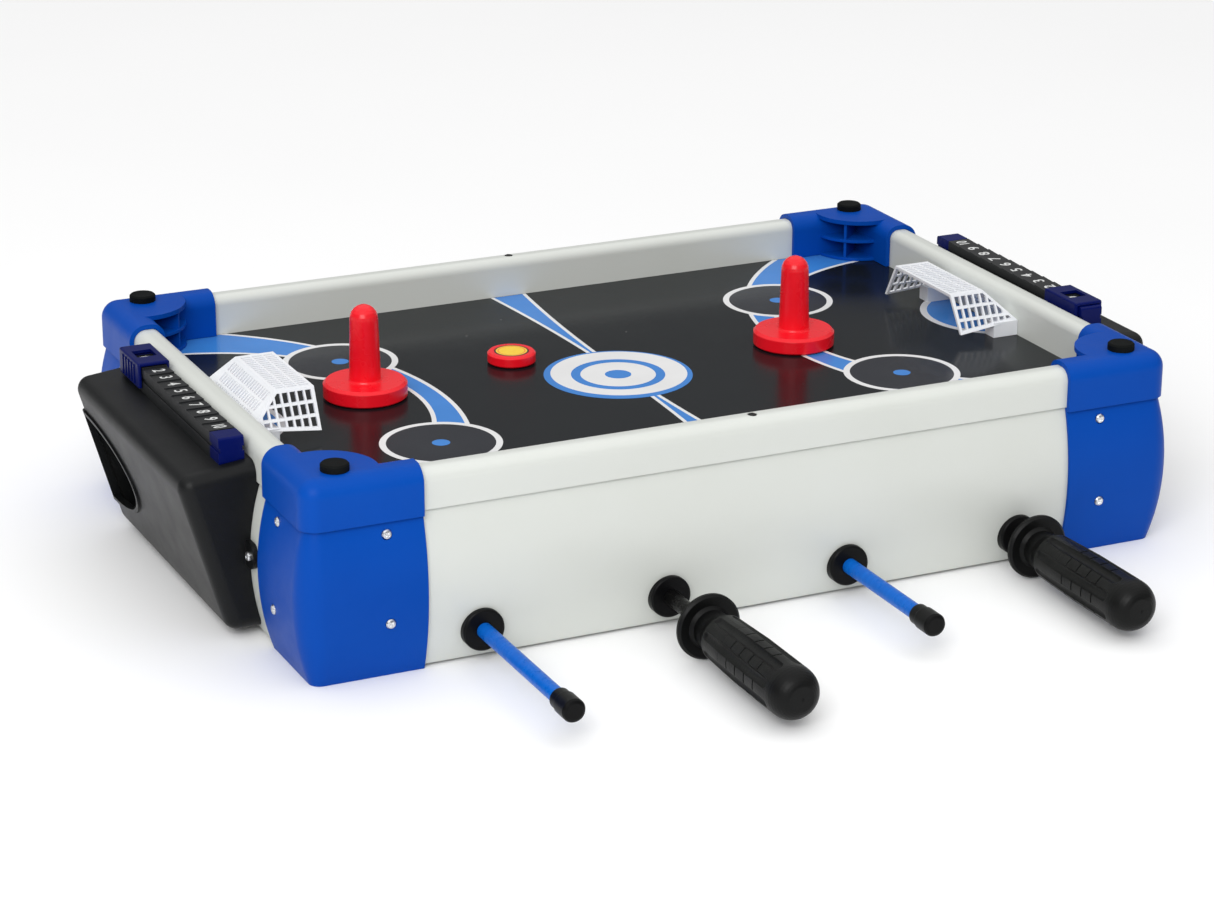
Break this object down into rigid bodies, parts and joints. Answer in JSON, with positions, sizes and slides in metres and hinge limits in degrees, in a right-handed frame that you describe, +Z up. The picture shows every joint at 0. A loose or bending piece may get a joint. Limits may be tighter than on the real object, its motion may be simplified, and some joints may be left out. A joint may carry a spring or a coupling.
{
  "type": "reversible tabletop hockey and football game",
  "caption": "Tabletop two-in-one game: glide hockey field with goals, pushers and scorers on top; rods with table-football players and ball boxes beneath.",
  "frame": {"origin": "on the surface the game stands on, under the centre of the field", "axes": "+X along the long side from goal to goal, +Y across it along the rods towards the back, +Z up with the hockey side on top"},
  "size_m": [0.549, 0.6, 0.1299],
  "materials": {
    "wall_grey": "satin moulded plastic",
    "corner_blue": "semi-gloss moulded plastic",
    "pad_rubber": "matt rubber",
    "ring_rubber": "matt rubber",
    "bush_black": "satin plastic",
    "rod_blue": "gloss enamel",
    "grip_black": "satin plastic",
    "cap_black": "satin plastic",
    "player_blue": "satin plastic",
    "player_red": "satin plastic",
    "box_black": "satin plastic",
    "score_black": "satin plastic with white printed figures",
    "score_blue": "semi-gloss plastic",
    "goal_white": "satin plastic",
    "pusher_red": "gloss plastic",
    "puck_red": "gloss plastic",
    "disc_yellow": "printed disc",
    "hockey_print": "printed board with rings and bands",
    "football_print": "printed board with field lines",
    "screw_steel": "zinc-plated steel",
    "screw_black": "blackened steel"
  },
  "bodies": {
    "table": {"hockey_board": "hockey_print", "football_board": "football_print", "wall_front": "wall_grey", "wall_back": "wall_grey", "wall_left": "wall_grey", "wall_right": "wall_grey", "rail_screws": "screw_black", "ball_box_left": "box_black", "ball_box_right": "box_black", "box_screws": "screw_steel", "score_bar_left": "score_black", "score_bar_right": "score_black", "score_ends_left": "score_blue", "score_ends_right": "score_blue", "hockey_goal_left": "goal_white", "hockey_goal_right": "goal_white", "corner_front_left": "corner_blue", "pad_front_left": "pad_rubber", "corner_screws_front_left": "screw_steel", "corner_front_right": "corner_blue", "pad_front_right": "pad_rubber", "corner_screws_front_right": "screw_steel", "corner_back_left": "corner_blue", "pad_back_left": "pad_rubber", "corner_screws_back_left": "screw_steel", "corner_back_right": "corner_blue", "pad_back_right": "pad_rubber", "corner_screws_back_right": "screw_steel", "rod_bushes_1": "bush_black", "rod_bushes_2": "bush_black", "rod_bushes_3": "bush_black", "rod_bushes_4": "bush_black"},
    "rod_1_slide": {"rod_rings_1": "ring_rubber"},
    "rod_1_spin": {"rod_1": "rod_blue", "grip_1": "grip_black", "end_cap_1": "cap_black", "players_1": "player_red"},
    "rod_2_slide": {"rod_rings_2": "ring_rubber"},
    "rod_2_spin": {"rod_2": "rod_blue", "grip_2": "grip_black", "end_cap_2": "cap_black", "players_2": "player_blue"},
    "rod_3_slide": {"rod_rings_3": "ring_rubber"},
    "rod_3_spin": {"rod_3": "rod_blue", "grip_3": "grip_black", "end_cap_3": "cap_black", "players_3": "player_red"},
    "rod_4_slide": {"rod_rings_4": "ring_rubber"},
    "rod_4_spin": {"rod_4": "rod_blue", "grip_4": "grip_black", "end_cap_4": "cap_black", "players_4": "player_blue"},
    "score_slider_left_body": {"score_slider_left": "score_blue"},
    "score_slider_right_body": {"score_slider_right": "score_blue"},
    "pusher_left_body": {"pusher_left": "pusher_red"},
    "pusher_right_body": {"pusher_right": "pusher_red"},
    "puck_body": {"puck": "puck_red", "puck_disc": "disc_yellow"}
  },
  "joints": [
    {"name": "rod_1_push", "type": "slide", "parent": "table", "child": "rod_1_slide", "axis": [0, 1, 0], "range_m": [-0.0145, 0.0575]},
    {"name": "rod_1_turn", "type": "hinge", "parent": "rod_1_slide", "child": "rod_1_spin", "pos_m": [-0.15, 0, 0.0175], "axis": [0, 1, 0], "continuous": true},
    {"name": "rod_2_push", "type": "slide", "parent": "table", "child": "rod_2_slide", "axis": [0, 1, 0], "range_m": [-0.039, 0.033]},
    {"name": "rod_2_turn", "type": "hinge", "parent": "rod_2_slide", "child": "rod_2_spin", "pos_m": [-0.05, 0, 0.0175], "axis": [0, 1, 0], "continuous": true},
    {"name": "rod_3_push", "type": "slide", "parent": "table", "child": "rod_3_slide", "axis": [0, 1, 0], "range_m": [-0.033, 0.039]},
    {"name": "rod_3_turn", "type": "hinge", "parent": "rod_3_slide", "child": "rod_3_spin", "pos_m": [0.05, 0, 0.0175], "axis": [0, 1, 0], "continuous": true},
    {"name": "rod_4_push", "type": "slide", "parent": "table", "child": "rod_4_slide", "axis": [0, 1, 0], "range_m": [-0.063, 0.009]},
    {"name": "rod_4_turn", "type": "hinge", "parent": "rod_4_slide", "child": "rod_4_spin", "pos_m": [0.15, 0, 0.0175], "axis": [0, 1, 0], "continuous": true},
    {"name": "score_left_slide", "type": "slide", "parent": "table", "child": "score_slider_left_body", "axis": [0, -1, 0], "range_m": [0, 0.1163]},
    {"name": "score_right_slide", "type": "slide", "parent": "table", "child": "score_slider_right_body", "axis": [0, 1, 0], "range_m": [0, 0.1163]},
    {"name": "pusher_left_glide", "type": "slide", "parent": "table", "child": "pusher_left_body", "axis": [1, 0, 0], "range_m": [-0.024, 0.056]},
    {"name": "pusher_right_glide", "type": "slide", "parent": "table", "child": "pusher_right_body", "axis": [1, 0, 0], "range_m": [-0.116, 0.062]},
    {"name": "puck_glide", "type": "slide", "parent": "table", "child": "puck_body", "axis": [0, 1, 0], "range_m": [-0.162, 0.096]}
  ]
}
